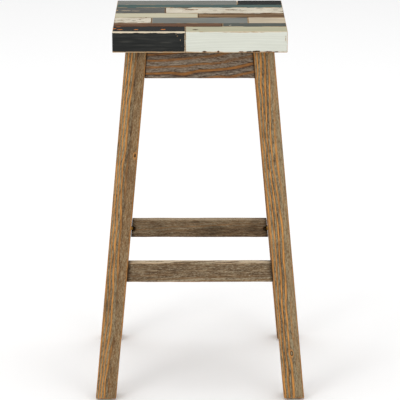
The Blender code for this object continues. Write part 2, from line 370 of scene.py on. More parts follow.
def wooden(name, place, steps, radius, tree, material, finish, relief, cutters, seed):
    """Make one wooden piece: a rounded block with its grain cut in, in place of the CAD node.

    steps are the millimetres between its points along and across the grain. finish is a function
    that gives the fields, by name, for points of the board. relief is how far late wood stands up,
    and cutters are the shapes of the holes in the piece.
    """
    size = np.array(place.size)
    points, quads = block_surface(size, np.array(steps) * MM, radius * 2.4)
    seeded = points + seed * 0.37
    soft = radius * (0.55 + 0.9 * layered(seeded, (0.03, 0.02, 0.02), seed, 2))
    local, facing = rounded(points, size, soft)
    on_end = np.abs(facing[:, 0])
    bare = finish(local, size, seed)["bare"]
    depth = relief * (1 - ridge(ring_count(local, tree, seed))) * (1 - 0.6 * on_end)
    depth += WEAR_DEPTH * layered(seeded, (0.09, 0.02, 0.02), seed + 5)
    depth += WEAR_DEPTH * bare + KNOT_DEPTH * smooth(0.6, 0.9, knot_strength(local, tree))
    local = local - facing * depth[:, None]
    if place.mirrored:
        quads = quads[:, ::-1]
    mesh = to_mesh(name, place.out(local), quads.tolist())
    if cutters:
        mesh = carved(mesh, cutters)
        local = place.back(positions(mesh))
    add_field(mesh, "ring", ring_count(local, tree, seed))
    add_field(mesh, "grain", local + np.array((1.7, 2.3, 0.9)) * seed)
    add_field(mesh, "slant", ring_slant(local, tree, size))
    for field, values in finish(local, size, seed).items():
        add_field(mesh, field, values)
    if tree.knots:
        add_field(mesh, "knot", knot_strength(local, tree))
    if tree.plain:
        start, end = tree.plain
        wander = FADE_WANDER * (layered(local + seed, (0.16, 0.05, 0.05), seed + 51) - 0.5)
        add_field(mesh, "plain", smooth(start * MM, end * MM, local[:, 1] + wander))
    claim(add_object(name + "_worn", mesh), material, name)


def frame_finish(width, top_wear=0.0, shade_and_dirt_at_ends=0.0, shadow_below_seat=0.0, stains=(), up=2):
    """The finish of a frame piece: worn along its edges over about width, with painted shade in its
    holes.

    top_wear is for rails that feet rest on. shade_and_dirt_at_ends is how far painted shade, with
    some dirt, reaches from the ends where they meet the legs, and shadow_below_seat how far painted
    shadow reaches down from the top, under the seat. stains are (place along, place up, length,
    height, strength) in mm.
    """
    def finish(local, size, seed):
        def rough(cell, number):
            return layered(local + seed, cell, seed + number)

        gaps = size / 2 - np.abs(local)
        nearest = np.sort(gaps, axis=1)
        distance = np.hypot(nearest[:, 0], nearest[:, 1])
        ragged = 0.25 + 1.5 * rough((0.05, 0.012, 0.012), 11)
        bare = 1 - smooth(0.15, 1.0, distance / (width * ragged))
        on_top = smooth(1.6 * MM, 0.3 * MM, size[2] / 2 - local[:, 2])
        trodden = smooth(0.26, 0.55, rough((0.07, 0.010, 0.010), 31))
        middle = smooth(1.0, 0.6, np.abs(local[:, 1]) / (size[1] / 2))
        bare = np.maximum(bare, top_wear * on_top * (0.35 + 0.65 * middle) * trodden)
        # Painted shade: darker inside the bored holes, whose points lie deeper than the faces
        grime = smooth(0.8 * MM, 2.0 * MM, nearest[:, 0])
        for x, z, length, height, strength in stains:
            reach = np.hypot((local[:, 0] - x * MM) / (length * MM),
                             (local[:, 2] - z * MM) / (height * MM))
            reach += 0.6 * (rough((0.03, 0.006, 0.006), 43) - 0.5)
            grime = np.maximum(grime, strength * smooth(0.6, 0.1, reach))
        # Painted shade, with some dirt, at the ends where the rail meets the legs
        if shade_and_dirt_at_ends:
            reach = shade_and_dirt_at_ends * (0.2 + 1.6 * rough((0.01, 0.008, 0.008), 37))
            grime = np.maximum(grime, smooth(1.0, 0.0, gaps[:, 0] / reach))
        # Painted shadow under the seat, reaching down from the top
        if shadow_below_seat:
            reach = shadow_below_seat * (0.5 + rough((0.02, 0.02, 0.02), 39))
            top = size[up] / 2 - local[:, up]
            grime = np.maximum(grime, 0.8 * smooth(1.0, 0.0, top / reach))
        return {"bare": bare, "under": on_top, "grime": grime}

    return finish


# ---- material nodes

class Look:
    """A material under construction. Each method adds a node and gives its output."""

    def __init__(self, name):
        self.material = bpy.data.materials.new(name)
        self.material.use_nodes = True
        self.tree = self.material.node_tree
        self.shader = self.tree.nodes["Principled BSDF"]

    def node(self, kind, **settings):
        made = self.tree.nodes.new("ShaderNode" + kind)
        for key, value in settings.items():
            setattr(made, key, value)
        return made

    def feed(self, socket, value):
        if isinstance(value, bpy.types.NodeSocket):
            self.tree.links.new(value, socket)
        else:
            socket.default_value = value

    def math(self, operation, *values):
        made = self.node("Math", operation=operation)
        for socket, value in zip(made.inputs, values):
            self.feed(socket, value)
        return made.outputs[0]

    def times(self, first, *others):
        for other in others:
            first = self.math("MULTIPLY", first, other)
        return first

    def step(self, value, low, high, start=0.0, end=1.0):
        """A smooth rise from start to end as value goes from low to high."""
        made = self.node("MapRange", interpolation_type="SMOOTHSTEP")
        for socket, given in zip(made.inputs, (value, low, high, start, end)):
            self.feed(socket, given)
        return made.outputs[0]

    def mix(self, share, first, second, blend="MIX"):
        made = self.node("Mix", data_type="RGBA", blend_type=blend)
        self.feed(made.inputs[0], share)
        self.feed(made.inputs[6], first)
        self.feed(made.inputs[7], second)
        return made.outputs[2]

    def shade(self, colour, light):
        """The colour made darker or lighter by a number around 1."""
        return self.mix(1.0, colour, light, "MULTIPLY")

    def field(self, name):
        made = self.node("Attribute", attribute_name=name)
        return made.outputs["Vector"] if name == "grain" else made.outputs["Fac"]

    def noise(self, vector, scale, detail=3.0, roughness=0.55, distortion=0.0):
        """Noise at a place. scale is a number of cells per metre each way."""
        scaled = self.node("VectorMath", operation="MULTIPLY")
        self.feed(scaled.inputs[0], vector)
        self.feed(scaled.inputs[1], scale)
        made = self.node("TexNoise")
        self.feed(made.inputs["Vector"], scaled.outputs[0])
        settings = dict(Scale=1.0, Detail=detail, Roughness=roughness, Distortion=distortion)
        for key, value in settings.items():
            made.inputs[key].default_value = value
        return made.outputs["Fac"]

    def chance(self, value):
        made = self.node("TexWhiteNoise", noise_dimensions="1D")
        self.feed(made.inputs["W"], value)
        return made.outputs["Value"]

    def ramp(self, value, *stops):
        made = self.node("ValToRGB")
        self.feed(made.inputs["Fac"], value)
        elements = made.color_ramp.elements
        while len(elements) < len(stops):
            elements.new(0.5)
        for element, (place, colour) in zip(elements, stops):
            element.position = place
            element.color = colour
        return made.outputs["Color"]

    def finish(self, colour, roughness, height, distance, specular=0.3):
        self.feed(self.shader.inputs["Base Color"], colour)
        self.feed(self.shader.inputs["Roughness"], roughness)
        self.shader.inputs["Specular IOR Level"].default_value = specular
        bump = self.node("Bump")
        bump.inputs["Distance"].default_value = distance
        bump.inputs["Strength"].default_value = 1.0
        self.feed(bump.inputs["Height"], height)
        self.tree.links.new(bump.outputs["Normal"], self.shader.inputs["Normal"])
        return self.material


# Cells per metre along and across the grain
FIBRES = (45.0, 1300.0, 1300.0)
THREADS = (50.0, 560.0, 560.0)
FLECKS = (210.0, 760.0, 760.0)
STREAKS = (16.0, 200.0, 200.0)
PATCHES = (6.0, 36.0, 36.0)


def late_wood(look, ring):
    """Shares from 0 to 1 for ridges and for hollows, and two random numbers for each ring."""
    growth = look.math("FRACT", ring)
    rise = look.step(growth, 0.54, 0.74)
    fall = look.step(growth, 0.88, 1.00, 1.0, 0.0)
    hollow = look.times(look.step(growth, 0.00, 0.08), look.step(growth, 0.24, 0.54, 1.0, 0.0))
    number = look.math("FLOOR", ring)
    other = look.chance(look.math("ADD", number, 77.3))
    return look.times(rise, fall), hollow, look.chance(number), other


def weighted(look, *pairs):
    """The sum of values times their weights."""
    total = 0.0
    for value, weight in pairs:
        total = look.math("ADD", look.times(value, weight), total)
    return total


KNOT_HEART = linear(44, 32, 22)
# The colour of stains and dirt, and of painted shade
GRIME_AND_SHADE = linear(34, 28, 18)


def brown_wood(name, dark, brown, glaze, orange, worn, pale, lines, glazing, few, hollows):
    """Brushed, stained wood: late wood stands up orange, and pale glaze sits in the pores.

    lines is the strength of the orange rings, few is how rare they are, and glazing is how much
    glaze there is, with hollows more of it beside the orange rings. Worn places go from worn to
    pale as the field "under" goes from 0 to 1.
    """
    look = Look(name)
    colours = (dark, brown, glaze, orange, worn, pale)
    dark, brown, glaze, orange, worn, pale = [linear(*colour) for colour in colours]
    grain = look.field("grain")
    plain = look.field("plain")
    knot = look.field("knot")
    late, hollow, chance, tone = late_wood(look, look.field("ring"))
    patches = look.noise(grain, PATCHES, 2.0)
    streaks = look.noise(grain, STREAKS, 4.0, 0.6)
    threads = look.noise(grain, THREADS, 3.0, 0.6)
    flecks = look.noise(grain, FLECKS, 3.0, 0.65)
    fibres = look.noise(grain, FIBRES, 2.0, 0.6)
    body = weighted(look, (streaks, 0.45), (threads, 0.55), (tone, 0.16))
    base = look.mix(look.step(body, 0.44, 0.70), dark, brown)
    base = look.mix(look.times(plain, 0.15), base, orange)
    common = weighted(look, (chance, 0.55), (patches, 0.7))
    strong = look.times(look.step(common, few, few + 0.35, lines * 0.25, lines),
                        look.step(plain, 0.0, 1.0, 1.0, 0.38),
                        look.step(look.field("slant"), 0.18, 0.50))
    lined = look.times(late, strong, look.step(threads, 0.32, 0.60, 0.45, 1.0))
    colour = look.mix(lined, base, orange)
    fill = look.step(weighted(look, (threads, 0.6), (flecks, 0.4)), 0.34, 0.62)
    colour = look.mix(look.times(hollow, strong, hollows), colour, look.mix(fill, dark, glaze))
    deposit = weighted(look, (flecks, 0.85), (threads, 0.25), (patches, 0.16), (tone, 0.12),
                       (lined, -0.22), (plain, 0.06))
    colour = look.mix(look.times(look.step(deposit, 0.62, 0.88), glazing), colour, glaze)
    bare = look.mix(look.field("under"), worn, pale)
    worn_through = weighted(look, (look.field("bare"), 1.0), (flecks, 0.8))
    colour = look.mix(look.step(worn_through, 0.66, 1.06, 0.0, 0.9), colour, bare)
    pits = weighted(look, (flecks, 1.0), (fibres, 0.5), (lined, 0.15))
    colour = look.shade(colour, look.step(pits, 0.56, 0.72, 0.62, 1.0))
    colour = look.shade(colour, look.step(threads, 0.3, 0.7, 0.87, 1.13))
    colour = look.shade(colour, look.step(fibres, 0.3, 0.7, 0.84, 1.14))
    colour = look.mix(look.step(knot, 0.05, 0.40, 0.0, 0.55), colour, orange)
    colour = look.mix(look.step(knot, 0.50, 0.68, 0.0, 0.9), colour, KNOT_HEART)
    colour = look.mix(look.step(knot, 0.86, 0.94, 0.0, 0.9), colour, glaze)
    # Darker with real stains and dirt, and with painted shade in holes, at joints and under the
    # seat
    colour = look.mix(look.times(look.field("grime"), 0.8), colour, GRIME_AND_SHADE)
    height = weighted(look, (fibres, 0.5), (flecks, 0.9))
    return look.finish(colour, look.step(streaks, 0.3, 0.7, 0.66, 0.82), height, 0.20 * MM, 0.2)


def painted(name, coat, second, scratch_and_sheen, streak=0.35, scratches=0.0, cracks=0.0, crack=None,
            top=None, roughness=0.55, contrast=0.08, broad=False):
    """Old paint on wood, with the wood of UNDER where the paint is gone.

    coat and second mix in streaks, wide ones if broad, and faces that look up are top. Scratches
    are scratch_and_sheen, and so is the painted sheen where the field "haze" is set, and
    cracks are crack. contrast is how patchy the paint is.
    """
    look = Look(name)
    coat, second, scratch_and_sheen = linear(*coat), linear(*second), linear(*scratch_and_sheen)
    grain = look.field("grain")
    late = late_wood(look, look.field("ring"))[0]
    streaks = look.noise(grain, (5.0, 110.0, 110.0) if broad else (7.0, 260.0, 260.0), 4.0, 0.6)
    patches = look.noise(grain, (14.0, 40.0, 40.0), 3.0)
    fine = look.noise(grain, (160.0, 800.0, 800.0), 2.0)
    fibres = look.noise(grain, FIBRES, 2.0, 0.6)
    # Faces that look up take top: a second, greener paint on white_paint, and painted shade, a
    # darker copy of the same black, on black_paint
    if top:
        split = look.node("SeparateXYZ")
        look.feed(split.inputs[0], look.node("NewGeometry").outputs["Normal"])
        upward = look.step(split.outputs[2], 0.55, 0.75)
        coat = look.mix(upward, coat, linear(*top))
        second = look.mix(upward, second, linear(*top))
    paint = look.mix(look.step(streaks, 0.5 - streak / 2, 0.5 + streak / 2), coat, second)
    paint = look.shade(paint, look.step(patches, 0.25, 0.75, 1 - contrast, 1 + contrast))
    paint = look.shade(paint, look.math("MULTIPLY_ADD", late, 0.06, 0.96))
    if scratches:
        thin = look.noise(grain, (16.0, 600.0, 600.0), 3.0, 0.7)
        marks = look.times(look.step(thin, 0.58, 0.66), look.step(patches, 0.40, 0.62), scratches)
        paint = look.mix(marks, paint, scratch_and_sheen)
    # Painted sheen: light streaks where the field "haze" is set
    sheen_wisps = look.step(look.noise(grain, (22.0, 420.0, 420.0), 3.0, 0.6), 0.42, 0.64)
    paint = look.mix(look.times(look.field("haze"), sheen_wisps, 0.16), paint, scratch_and_sheen)
    height = look.times(fibres, 0.25)
    if cracks:
        lines = look.noise(grain, (26.0, 330.0, 330.0), 3.0, 0.62, 0.4)
        gaps = look.times(look.step(lines, 0.58, 0.64), look.step(patches, 0.38, 0.58), cracks)
        paint = look.mix(gaps, paint, linear(*crack))
        height = look.math("SUBTRACT", height, gaps)
    wood = look.ramp(look.field("under"), *UNDER)
    wood = look.shade(wood, look.step(fibres, 0.3, 0.7, 0.88, 1.12))
    ragged = look.math("MULTIPLY_ADD", fine, 0.6, look.math("SUBTRACT", look.field("bare"), 0.3))
    gone = look.step(ragged, 0.42, 0.58)
    colour = look.mix(gone, paint, wood)
    height = look.math("SUBTRACT", height, look.times(gone, 0.6))
    rough = look.math("MULTIPLY_ADD", gone, 0.85 - roughness, roughness)
    return look.finish(colour, rough, height, 0.3 * MM, 0.03)


def yellow_zinc():
    """Plated steel: fine turned scratches and a tarnished film."""
    look = Look("yellow_zinc")
    place = look.node("TexCoord").outputs["Object"]
    film = look.noise(place, (300.0, 300.0, 300.0), 4.0)
    scratches = look.noise(place, (2500.0, 2500.0, 600.0), 2.0)
    tint = look.mix(look.step(film, 0.40, 0.70), linear(214, 178, 96), linear(150, 112, 62))
    look.shader.inputs["Metallic"].default_value = 1.0
    return look.finish(tint, look.step(film, 0.3, 0.7, 0.24, 0.47), scratches, 0.03 * MM, 0.5)


def glide_plastic():
    """Grey moulded plastic with scuffs."""
    look = Look("glide_plastic")
    place = look.node("TexCoord").outputs["Object"]
    scuffs = look.noise(place, (400.0, 400.0, 900.0), 4.0, 0.6)
    pebble = look.noise(place, (2200.0, 2200.0, 2200.0), 2.0)
    tint = look.mix(look.step(scuffs, 0.42, 0.66), linear(150, 146, 132), linear(118, 112, 98))
    return look.finish(tint, look.step(scuffs, 0.3, 0.7, 0.48, 0.70), pebble, 0.05 * MM, 0.4)


CREAM, TAN, BROWN, ORANGE, DARK = 0.0, 0.25, 0.5, 0.75, 1.0

# The wood under the paint, for each value of the field "under"
UNDER = ((CREAM, linear(222, 211, 188)), (TAN, linear(176, 146, 110)), (BROWN, linear(118, 94, 70)),
         (ORANGE, linear(192, 116, 60)), (DARK, linear(72, 56, 40)))

# Display colours, and strengths from 0 to 1
WOODS = {
    "leg_wood": dict(
        dark=(84, 63, 42), brown=(117, 91, 62), glaze=(152, 138, 108), orange=(198, 135, 66),
        worn=(172, 118, 60), pale=(190, 150, 104), lines=1.0, glazing=0.74, few=0.16, hollows=0.85),
    "apron_wood": dict(
        dark=(66, 48, 36), brown=(99, 77, 57), glaze=(144, 131, 114), orange=(152, 101, 50),
        worn=(130, 88, 50), pale=(150, 120, 90), lines=0.95, glazing=0.66, few=0.33, hollows=0.85),
    "stretcher_wood": dict(
        dark=(94, 73, 51), brown=(123, 100, 73), glaze=(158, 146, 121), orange=(134, 97, 58),
        worn=(160, 108, 60), pale=(214, 197, 168), lines=0.6, glazing=0.85, few=0.5, hollows=0.3),
    "dark_stretcher_wood": dict(
        dark=(88, 67, 46), brown=(124, 99, 70), glaze=(150, 137, 112), orange=(136, 98, 60),
        worn=(140, 102, 62), pale=(176, 158, 130), lines=0.6, glazing=0.75, few=0.5, hollows=0.3),
    "raw_wood": dict(
        dark=(168, 136, 98), brown=(190, 160, 122), glaze=(204, 180, 146), orange=(180, 134, 86),
        worn=(200, 172, 134), pale=(210, 186, 150), lines=0.7, glazing=0.4, few=0.4, hollows=0.6),
}
PAINTS = {
    # Its top is painted shade: a darker copy of the same black on faces that look up
    "black_paint": dict(
        coat=(39, 40, 39), second=(46, 47, 46), top=(31, 32, 31), scratch_and_sheen=(120, 118, 110),
        scratches=0.14),
    "white_paint": dict(
        coat=(209, 211, 199), second=(214, 216, 205), top=(170, 166, 140),
        scratch_and_sheen=(196, 196, 180), scratches=0.3, contrast=0.02),
    "cream_paint": dict(
        coat=(192, 183, 164), second=(203, 196, 180), scratch_and_sheen=(120, 104, 84),
        crack=(104, 86, 66), cracks=0.9, roughness=0.65),
    "grey_paint": dict(
        coat=(107, 110, 104), second=(117, 118, 113), scratch_and_sheen=(176, 174, 166), scratches=0.2),
    "warm_grey_paint": dict(
        coat=(108, 109, 104), second=(118, 118, 113), scratch_and_sheen=(176, 172, 160), scratches=0.2),
    "dark_grey_paint": dict(
        coat=(78, 79, 77), second=(91, 91, 87), scratch_and_sheen=(190, 176, 156), scratches=0.5),
    "blue_grey_paint": dict(
        coat=(69, 73, 69), second=(82, 85, 79), scratch_and_sheen=(150, 148, 138), scratches=0.25),
    "red_brown_paint": dict(
        coat=(73, 47, 30), second=(109, 79, 57), scratch_and_sheen=(150, 122, 96), scratches=0.6, broad=True),
    "brown_stain": dict(
        coat=(90, 67, 44), second=(139, 112, 80), scratch_and_sheen=(168, 138, 100), scratches=0.5,
        crack=(66, 50, 38), cracks=0.5, streak=0.22, broad=True),
    "beige_paint": dict(
        coat=(175, 160, 138), second=(186, 175, 153), scratch_and_sheen=(170, 140, 112), scratches=0.6,
        streak=0.25, roughness=0.65),
    "yellow_green_paint": dict(
        coat=(180, 174, 149), second=(189, 183, 160), scratch_and_sheen=(170, 160, 120), scratches=0.3,
        contrast=0.03),
    "teal_paint": dict(
        coat=(60, 80, 78), second=(77, 96, 92), scratch_and_sheen=(130, 140, 130), scratches=0.3),
}


def make_materials():
    looks = {name: brown_wood(name, **settings) for name, settings in WOODS.items()}
    looks.update({name: painted(name, **settings) for name, settings in PAINTS.items()})
    looks["yellow_zinc"] = yellow_zinc()
    looks["glide_plastic"] = glide_plastic()
    return looks


# ---- frame pieces

def leg_place(end, side):
    name = "leg_%s_%s" % (end, side)
    low, high = box_of(name)
    signs = np.array((SIDES[side], ENDS[end]))

    def centre(height):
        outer = np.stack([leg_outer(height, 0), leg_outer(height, 1)], axis=1)
        return signs * (outer - LEG_SIZE / 2)

    size = (high[2] - low[2], LEG_SIZE, LEG_SIZE)
    return Place(size, (0, 0, (low[2] + high[2]) / 2), along=2, centre=centre)


def rail_place(node, rail, thickness=None):
    """A rail between two legs on one side of the stool. Its ends lie against the legs."""
    low, high = box_of(node)
    bottom, top = low[2], high[2]
    along = 0 if rail in ENDS else 1
    across = 1 - along
    if thickness is None:
        thickness = high[across] - low[across] - SPLAY * (top - bottom)
    sign = {**ENDS, **SIDES}[rail]
    outer_low = max(abs(low[across]), abs(high[across]))

    def reach(height):
        return leg_outer(height, along) - LEG_SIZE - GAP

    half = reach(bottom)

    def stretch(height):
        return reach(height) / half

    def centre(height):
        offset = np.zeros((len(height), 2))
        offset[:, across] = sign * (outer_low - SPLAY * (height - bottom) - thickness / 2)
        return offset

    size = (2 * half, thickness, top - bottom)
    return Place(size, (0, 0, (bottom + top) / 2), along=along, centre=centre, stretch=stretch)


LEG_TREES = {
    ("front", "left"): Tree((14, 16), (-4, 0), 3.9, 10, [((146, 16, -21), 2.6, 0.80)], (2, 9)),
    ("front", "right"): Tree((27, 14), (14, 0), 5.2, 15, [((-262, 3, -21), 2.8, 1.0)], (4, 11)),
    ("rear", "left"): Tree((20, -34), (0, 8), 4.4, 12),
    ("rear", "right"): Tree((-18, -30), (6, 0), 4.6, 12),
}
APRON_TREE = Tree((26, -60), (0, 95), 11.0, 24)
STRETCHER_TREES = {
    "front": Tree((20, 6), (10, 22), 3.4, 12),
    "rear": Tree((26, -16), (0, 30), 3.8, 12),
    "left": Tree((-26, 10), (10, 20), 3.2, 12),
    "right": Tree((26, -8), (-10, 20), 3.2, 12),
}
APRON_THICKNESS = 18 * MM

# Darker places on the stretchers: (place along, place up, length, height, strength) in mm
STAINS = {
    "front": [(-52, 6, 60, 12, 0.16), (70, 2, 70, 12, 0.12), (-110, -14, 40, 12, 0.16)],
    "rear": [(24, -2, 80, 34, 0.55), (-96, 2, 60, 30, 0.22), (120, 4, 40, 40, 0.35)],
}


def screw_line(node):
    """A CAD screw's middle line: from the outer end of its head to its tip."""
    points = np.array([v.co for v in frame["nodes"][node].data.vertices], float)
    middle = points.mean(axis=0)
    axis = np.linalg.svd(points - middle, full_matrices=False)[2][0]
    along = (points - middle) @ axis
    spread = np.linalg.norm(points - middle - np.outer(along, axis), axis=1)
    if along[spread.argmax()] > 0:
        axis = -axis
        along = -along
    return middle + axis * along.min(), middle + axis * along.max()


THREAD_PITCH = 1.6 * MM
THREADED = 0.85    # the share of a screw's length that has thread
RINGS_PER_TURN = 6

# A pan head from its middle to its rim: (share of its radius, share of its height)
PAN_HEAD = ((0.02, 1.0), (0.12, 1.0), (0.22, 0.99), (0.32, 0.98), (0.42, 0.97), (0.54, 0.94),
            (0.66, 0.89), (0.78, 0.80), (0.88, 0.66), (0.95, 0.46), (0.99, 0.22), (1.0, 0.04),
            (0.97, 0.0))


def screw_shape(head_radius, head_height, shank_radius, length):
    """A pan head with a cross recess, on a shank with a thread. Its tip points to -Z."""
    profile = [(head_radius * r, head_height * h) for r, h in PAN_HEAD]
    rings = int(length * THREADED / THREAD_PITCH) * RINGS_PER_TURN
    for ring in range(rings + 1):
        profile.append((shank_radius, -0.2 * MM - ring * length * THREADED / rings))
    profile += [(shank_radius * 0.7, -length * 0.92), (shank_radius * 0.15, -length)]

    def shape(points):
        angle = np.arctan2(points[:, 1], points[:, 0])
        reach = np.maximum(np.abs(points[:, 0]), np.abs(points[:, 1])) / head_radius
        arm = np.minimum(np.abs(points[:, 0]), np.abs(points[:, 1])) / head_radius
        slot = (1 - smooth(0.10, 0.16, arm)) * (1 - smooth(0.40, 0.52, reach))
        top = points[:, 2] > head_height * 0.5
        points[:, 2] -= top * slot * head_height * 0.75
        thread = (points[:, 2] < -0.5 * MM) & (points[:, 2] > -length * 0.86)
        wave = 0.5 + 0.5 * np.cos(2 * pi * points[:, 2] / THREAD_PITCH - angle)
        points[:, :2] *= (1 - thread * 0.22 * wave ** 2)[:, None]
        return points

    return profile, shape


# Head radius, head height, shank radius, pocket radius and pocket length, in millimetres
SCREW_KINDS = {
    "stretcher": (4.8, 3.0, 2.1, 6.0, 20),
    "block": (4.0, 2.5, 1.8, 5.0, 22),
    "seat": (4.5, 2.8, 2.1, 5.0, 22),
}


def make_screw(node, material):
    """A detailed screw in place of the CAD one, and the cutter for its pocket and pilot hole."""
    sizes = SCREW_KINDS[node.split("_")[0]]
    head, height, shank, pocket, room = [value * MM for value in sizes]
    outer, tip = screw_line(node)
    length = np.linalg.norm(tip - outer) - height
    turn = Vector((0, 0, -1)).rotation_difference(Vector(tip - outer))
    bearing = Vector(outer + (tip - outer) * height / (length + height))
    profile, shape = screw_shape(head, height, shank, length)
    screw = lathe_object(node + "_turned", profile, 48, shape)
    hole = shank + GAP
    cutter = lathe_object("room", [(ON_AXIS, room), (pocket, room), (pocket, -GAP), (hole, -GAP),
                                   (hole, -length - GAP), (ON_AXIS, -length - GAP)], 40)
    for item in (screw, cutter):
        item.rotation_mode = "QUATERNION"
        item.rotation_quaternion = turn
        item.location = bearing
    bpy.context.view_layer.update()
    screw.data.transform(screw.matrix_world)
    screw.matrix_world.identity()
    screw.rotation_quaternion = (1, 0, 0, 0)
    screw.location = (0, 0, 0)
    claim(screw, material, node)
    return cutter


def make_screws(looks):
    cutters = {}
    for item in frame["record"]["subparts"]:
        node = item["node"]
        if "screw" in node:
            cutters[node] = make_screw(node, looks["yellow_zinc"])
    return cutters


def nail_room(corner):
    """The cutter for the hole that a glide's nail needs in a leg."""
    low, high = box_of("glide_%s_%s" % corner)
    top = LEG_LOW[2] - GAP + NAIL_LENGTH
    wide = NAIL_RADIUS + GAP
    profile = [(ON_AXIS, top + GAP), (wide, top), (wide, -GAP), (ON_AXIS, -GAP)]
    cutter = lathe_object("room", profile, 24)
    cutter.location = ((low[0] + high[0]) / 2, (low[1] + high[1]) / 2, 0.0)
    return cutter


# Millimetres between a mesh's points along the grain, across it, and through the board
LEG_STEPS = (5, 0.9, 0.9)
APRON_STEPS = (4, 1.0, 1.0)
STRETCHER_STEPS = (4, 0.9, 0.9)
SEAT_STEPS = (1.4, 0.9, 0.9)
PANEL_STEPS = (3, 1.2, 1.5)


def make_leg(end, side, looks, cutters, seed):
    nail = nail_room((end, side))
    cutters["nail", end, side] = nail
    bpy.context.view_layer.update()
    rooms = [cutters["stretcher_%s_screw_%s" % (end, side)],
             cutters["stretcher_%s_screw_%s" % (side, end)], nail]
    finish = frame_finish(3.0 * MM, shadow_below_seat=3 * MM, up=0)
    wooden("leg_%s_%s" % (end, side), leg_place(end, side), LEG_STEPS, 1.7 * MM,
           LEG_TREES[end, side], looks["leg_wood"], finish, 0.36 * MM, rooms, seed)


def make_apron(rail, ends, looks, cutters, seed):
    node = "apron_" + rail
    names = [(rail, end, "end") if rail in ENDS else (end, rail, "side") for end in ends]
    rooms = [cutters["block_screw_%s_%s_%s" % name] for name in names]
    finish = frame_finish(1.8 * MM, shade_and_dirt_at_ends=4 * MM, shadow_below_seat=5 * MM)
    wooden(node, rail_place(node, rail, APRON_THICKNESS), APRON_STEPS, 1.2 * MM, APRON_TREE,
           looks["apron_wood"], finish, 0.34 * MM, rooms, seed)


def make_stretcher(rail, ends, looks, cutters, seed):
    node = "stretcher_" + rail
    rooms = [cutters["%s_screw_%s" % (node, end)] for end in ends]
    footrest = rail == "front"
    finish = frame_finish(2.0 * MM, 1.0 if footrest else 0.55, 8 * MM, 0.0, STAINS.get(rail, ()))
    wooden(node, rail_place(node, rail), STRETCHER_STEPS, 1.3 * MM, STRETCHER_TREES[rail],
           looks["stretcher_wood" if footrest else "dark_stretcher_wood"],
           finish, 0.30 * MM, rooms, seed)


def make_frame(looks, cutters):
    seed = 3
    for end, side in CORNERS:
        make_leg(end, side, looks, cutters, seed)
        seed += 2
    for rail in (*ENDS, *SIDES):
        ends = SIDES if rail in ENDS else ENDS
        make_apron(rail, ends, looks, cutters, seed)
        make_stretcher(rail, ends, looks, cutters, seed + 1)
        seed += 2


# ---- seat

# Worn spots on the seat's top, in millimetres: (x, y, length, width, what shows)
TOP_MARKS = {
    "seat_front_board_left": [
        (-168, -124, 7, 5, ORANGE), (-157, -132, 10, 4.5, ORANGE), (-160, -107, 9, 4, ORANGE),
        (-125, -132, 8, 5, ORANGE), (-72, -131, 10, 6, ORANGE)],
    "seat_front_board_right": [(-9, -133, 11, 7, DARK)],
    "seat_strip_2_right": [(60, -92, 5, 2, CREAM)],
    "seat_strip_3_left": [
        (-160, -43, 12, 4, DARK), (-142, -42, 7, 3, DARK), (-132, -47, 10, 4, DARK),
        (-120, -39, 6, 3, DARK)],
    "seat_strip_4_left": [(-108, -19, 4, 3, DARK)],
    "seat_strip_5_left": [
        (-151, 48, 22, 3.4, 0.15), (-131, 46, 16, 2.8, 0.15), (-169, 52, 5, 8, TAN)],
    "seat_strip_5_right": [
        (-19, 57, 24, 9, DARK), (-5, 59, 5, 5, DARK), (-61, 56, 10, 3, TAN),
        (64, 56, 28, 7, DARK), (83, 56, 6, 4, DARK), (156, 55, 9, 4, DARK)],
}
# Worn spots on the front face, in millimetres: (x, z, length, height, what shows)
FRONT_MARKS = {
    "seat_front_board_left": [
        (-44, 753, 2.6, 1.1, TAN), (-38, 745, 1.1, 1.8, TAN), (-47, 756.5, 2.0, 0.9, TAN),
        (-35, 733, 1.0, 1.2, TAN)],
    "seat_front_board_right": [
        (9, 722.0, 7, 2.6, DARK), (36, 722.2, 5, 3.4, DARK), (81, 721.8, 8, 2.0, DARK),
        (96, 721.8, 12, 2.6, DARK), (111, 722.4, 13, 3.6, DARK), (135, 721.8, 13, 2.2, DARK),
        (149, 721.4, 11, 2.0, DARK), (167, 748, 1.2, 15, TAN)],
}
# Painted sheen on the black front face, as faint light streaks, in millimetres: (x, z, length,
# height, tilt in degrees)
SHEEN_STREAKS = [(-108, 747, 44, 5, -3), (-100, 735, 66, 7, 5), (-146, 741, 30, 7, 3),
          (-66, 740, 36, 7, 9), (-95, 727, 70, 5, 2), (-130, 753, 50, 4, 0)]
# How many millimetres of paint are worn off along a board's near and far edges, and what shows
SEAM = (1.0, 1.0, TAN)
SEAMS = {
    "seat_strip_5_right": (2.4, 3.6, BROWN), "seat_strip_5_left": (1.2, 1.8, BROWN),
    "seat_strip_4_left": (1.4, 2.6, TAN), "seat_strip_4_right": (2.5, 6.5, DARK),
    "seat_strip_3_left": (2.0, 3.0, BROWN), "seat_strip_2_left": (2.2, 4.0, DARK),
    "seat_front_board_left": (1.5, 1.5, TAN), "seat_front_board_right": (1.5, 2.4, TAN),
}

FACE_DEPTH = 2.5 * MM    # how near a face a point counts as part of it


def spot(first, second, length, width, seed):
    """An uneven worn spot: over 0.5 inside it."""
    points = np.stack([first, second, 0 * first], axis=1)
    rough = layered(points, (3 * MM, 1.6 * MM, 1), seed, 2) - 0.5
    reach = np.hypot(first / (length / 2), second / (width / 2))
    return smooth(1.5, 0.5, reach + 0.9 * rough)


